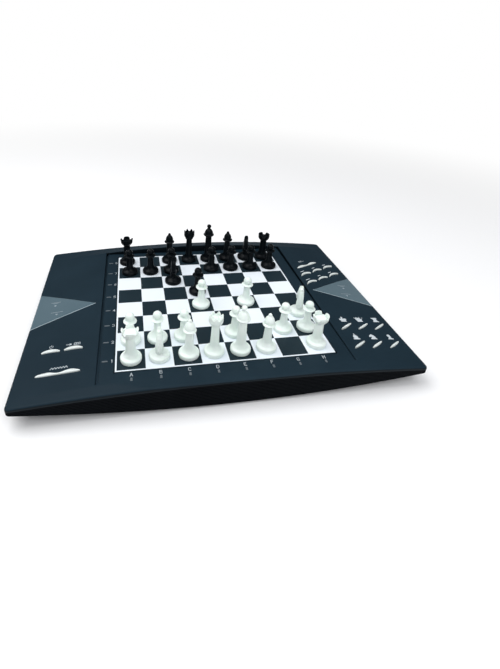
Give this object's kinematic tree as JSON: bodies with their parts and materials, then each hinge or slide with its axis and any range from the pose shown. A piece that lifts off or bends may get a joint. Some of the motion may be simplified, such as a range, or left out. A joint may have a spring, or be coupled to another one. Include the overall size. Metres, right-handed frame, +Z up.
{
  "type": "electronic chess computer",
  "caption": "Tabletop electronic chess computer: domed console with touch-sensing board, key wings, smoked windows, square lamps and a full set of chessmen.",
  "frame": {"origin": "centre of the console's footprint, on the table under the feet", "axes": "+X to the player's right along the console's longest side, +Y away from the player, +Z up"},
  "size_m": [0.32, 0.22, 0.067],
  "materials": {
    "case_top": "fine satin texture",
    "case_base": "satin, finely ribbed",
    "playing_field": "printed film, satin gloss",
    "key_silver": "pearl silver, satin gloss",
    "men_white": "milky, slightly translucent",
    "men_black": "glossy moulded",
    "sensor_film": "clear polyester film",
    "inner_plastic": "moulded",
    "smoked_window": "smoked translucent acrylic",
    "lamp": "clear lamp lens",
    "circuit_board": "green solder resist",
    "keypad_rubber": "silicone",
    "foot_rubber": "soft rubber",
    "chip_plastic": "epoxy",
    "speaker_metal": "stamped basket and paper cone",
    "cable": "insulated wire",
    "cell_jacket": "printed jacket, satin",
    "contact_metal": "nickel plate",
    "screw_steel": "zinc plate"
  },
  "bodies": {
    "console": {"top_case": "case_top", "bottom_case": "case_base", "playing_sheet": "playing_field", "sensor_top_film": "sensor_film", "sensor_spacer": "sensor_film", "sensor_bottom_film": "sensor_film", "backing_plate": "inner_plastic", "backing_plate_screws": "screw_steel", "left_window": "smoked_window", "right_window": "smoked_window", "window_lamps": "lamp", "rank_leds": "lamp", "file_leds": "lamp", "rank_led_board": "circuit_board", "file_led_board": "circuit_board", "left_key_board": "circuit_board", "right_key_board": "circuit_board", "left_keypad": "keypad_rubber", "right_keypad": "keypad_rubber", "main_board": "circuit_board", "board_parts": "chip_plastic", "main_board_screws": "screw_steel", "speaker": "speaker_metal", "ribbon_cables": "cable", "battery_wires": "cable", "battery_cells": "cell_jacket", "battery_springs": "contact_metal", "battery_contacts": "contact_metal", "case_screws": "screw_steel", "rubber_feet": "foot_rubber"},
    "on_key": {"on_key": "key_silver"},
    "save_key": {"save_key": "key_silver"},
    "training_key": {"training_key": "key_silver"},
    "menu_key": {"menu_key": "key_silver"},
    "rear_key_1": {"rear_key_1": "key_silver"},
    "rear_key_2": {"rear_key_2": "key_silver"},
    "rear_key_3": {"rear_key_3": "key_silver"},
    "rear_key_4": {"rear_key_4": "key_silver"},
    "rear_key_5": {"rear_key_5": "key_silver"},
    "rear_key_6": {"rear_key_6": "key_silver"},
    "king_key": {"king_key": "key_silver"},
    "queen_key": {"queen_key": "key_silver"},
    "rook_key": {"rook_key": "key_silver"},
    "bishop_key": {"bishop_key": "key_silver"},
    "knight_key": {"knight_key": "key_silver"},
    "pawn_key": {"pawn_key": "key_silver"},
    "battery_door": {"battery_door": "case_base", "door_screw": "screw_steel"},
    "white_king": {"white_king": "men_white"},
    "white_queen": {"white_queen": "men_white"},
    "white_rooks": {"white_rooks": "men_white"},
    "white_bishops": {"white_bishops": "men_white"},
    "white_knights": {"white_knights": "men_white"},
    "white_pawns": {"white_pawns": "men_white"},
    "black_king": {"black_king": "men_black"},
    "black_queen": {"black_queen": "men_black"},
    "black_rooks": {"black_rooks": "men_black"},
    "black_bishops": {"black_bishops": "men_black"},
    "black_knights": {"black_knights": "men_black"},
    "black_pawns": {"black_pawns": "men_black"}
  },
  "joints": [
    {"name": "on_key_press", "type": "slide", "parent": "console", "child": "on_key", "axis": [0.1132, 0.0097, -0.9935], "range_m": [0, 0.0008], "stiffness_N_per_m": 600, "springref_m": -0.0004},
    {"name": "save_key_press", "type": "slide", "parent": "console", "child": "save_key", "axis": [0.1132, 0.0097, -0.9935], "range_m": [0, 0.0008], "stiffness_N_per_m": 600, "springref_m": -0.0004},
    {"name": "training_key_press", "type": "slide", "parent": "console", "child": "training_key", "axis": [0.1132, 0.0097, -0.9935], "range_m": [0, 0.0008], "stiffness_N_per_m": 600, "springref_m": -0.0004},
    {"name": "menu_key_press", "type": "slide", "parent": "console", "child": "menu_key", "axis": [-0.1132, 0.0097, -0.9935], "range_m": [0, 0.0008], "stiffness_N_per_m": 600, "springref_m": -0.0004},
    {"name": "rear_key_1_press", "type": "slide", "parent": "console", "child": "rear_key_1", "axis": [-0.1132, 0.0097, -0.9935], "range_m": [0, 0.0008], "stiffness_N_per_m": 600, "springref_m": -0.0004},
    {"name": "rear_key_2_press", "type": "slide", "parent": "console", "child": "rear_key_2", "axis": [-0.1132, 0.0097, -0.9935], "range_m": [0, 0.0008], "stiffness_N_per_m": 600, "springref_m": -0.0004},
    {"name": "rear_key_3_press", "type": "slide", "parent": "console", "child": "rear_key_3", "axis": [-0.1132, 0.0097, -0.9935], "range_m": [0, 0.0008], "stiffness_N_per_m": 600, "springref_m": -0.0004},
    {"name": "rear_key_4_press", "type": "slide", "parent": "console", "child": "rear_key_4", "axis": [-0.1132, 0.0097, -0.9935], "range_m": [0, 0.0008], "stiffness_N_per_m": 600, "springref_m": -0.0004},
    {"name": "rear_key_5_press", "type": "slide", "parent": "console", "child": "rear_key_5", "axis": [-0.1132, 0.0097, -0.9935], "range_m": [0, 0.0008], "stiffness_N_per_m": 600, "springref_m": -0.0004},
    {"name": "rear_key_6_press", "type": "slide", "parent": "console", "child": "rear_key_6", "axis": [-0.1132, 0.0097, -0.9935], "range_m": [0, 0.0008], "stiffness_N_per_m": 600, "springref_m": -0.0004},
    {"name": "king_key_press", "type": "slide", "parent": "console", "child": "king_key", "axis": [-0.1132, 0.0097, -0.9935], "range_m": [0, 0.0008], "stiffness_N_per_m": 600, "springref_m": -0.0004},
    {"name": "queen_key_press", "type": "slide", "parent": "console", "child": "queen_key", "axis": [-0.1132, 0.0097, -0.9935], "range_m": [0, 0.0008], "stiffness_N_per_m": 600, "springref_m": -0.0004},
    {"name": "rook_key_press", "type": "slide", "parent": "console", "child": "rook_key", "axis": [-0.1132, 0.0097, -0.9935], "range_m": [0, 0.0008], "stiffness_N_per_m": 600, "springref_m": -0.0004},
    {"name": "bishop_key_press", "type": "slide", "parent": "console", "child": "bishop_key", "axis": [-0.1132, 0.0097, -0.9935], "range_m": [0, 0.0008], "stiffness_N_per_m": 600, "springref_m": -0.0004},
    {"name": "knight_key_press", "type": "slide", "parent": "console", "child": "knight_key", "axis": [-0.1132, 0.0097, -0.9935], "range_m": [0, 0.0008], "stiffness_N_per_m": 600, "springref_m": -0.0004},
    {"name": "pawn_key_press", "type": "slide", "parent": "console", "child": "pawn_key", "axis": [-0.1132, 0.0097, -0.9935], "range_m": [0, 0.0008], "stiffness_N_per_m": 600, "springref_m": -0.0004},
    {"name": "battery_door_removal", "type": "slide", "parent": "console", "child": "battery_door", "axis": [0, 0, -1], "range_m": [0, 0.03]},
    {"name": "white_king_lift", "type": "slide", "parent": "console", "child": "white_king", "axis": [0, 0, 1], "range_m": [0, 0.06]},
    {"name": "white_queen_lift", "type": "slide", "parent": "console", "child": "white_queen", "axis": [0, 0, 1], "range_m": [0, 0.06]},
    {"name": "white_rooks_lift", "type": "slide", "parent": "console", "child": "white_rooks", "axis": [0, 0, 1], "range_m": [0, 0.06]},
    {"name": "white_bishops_lift", "type": "slide", "parent": "console", "child": "white_bishops", "axis": [0, 0, 1], "range_m": [0, 0.06]},
    {"name": "white_knights_lift", "type": "slide", "parent": "console", "child": "white_knights", "axis": [0, 0, 1], "range_m": [0, 0.06]},
    {"name": "white_pawns_lift", "type": "slide", "parent": "console", "child": "white_pawns", "axis": [0, 0, 1], "range_m": [0, 0.06]},
    {"name": "black_king_lift", "type": "slide", "parent": "console", "child": "black_king", "axis": [0, 0, 1], "range_m": [0, 0.06]},
    {"name": "black_queen_lift", "type": "slide", "parent": "console", "child": "black_queen", "axis": [0, 0, 1], "range_m": [0, 0.06]},
    {"name": "black_rooks_lift", "type": "slide", "parent": "console", "child": "black_rooks", "axis": [0, 0, 1], "range_m": [0, 0.06]},
    {"name": "black_bishops_lift", "type": "slide", "parent": "console", "child": "black_bishops", "axis": [0, 0, 1], "range_m": [0, 0.06]},
    {"name": "black_knights_lift", "type": "slide", "parent": "console", "child": "black_knights", "axis": [0, 0, 1], "range_m": [0, 0.06]},
    {"name": "black_pawns_lift", "type": "slide", "parent": "console", "child": "black_pawns", "axis": [0, 0, 1], "range_m": [0, 0.06]}
  ]
}
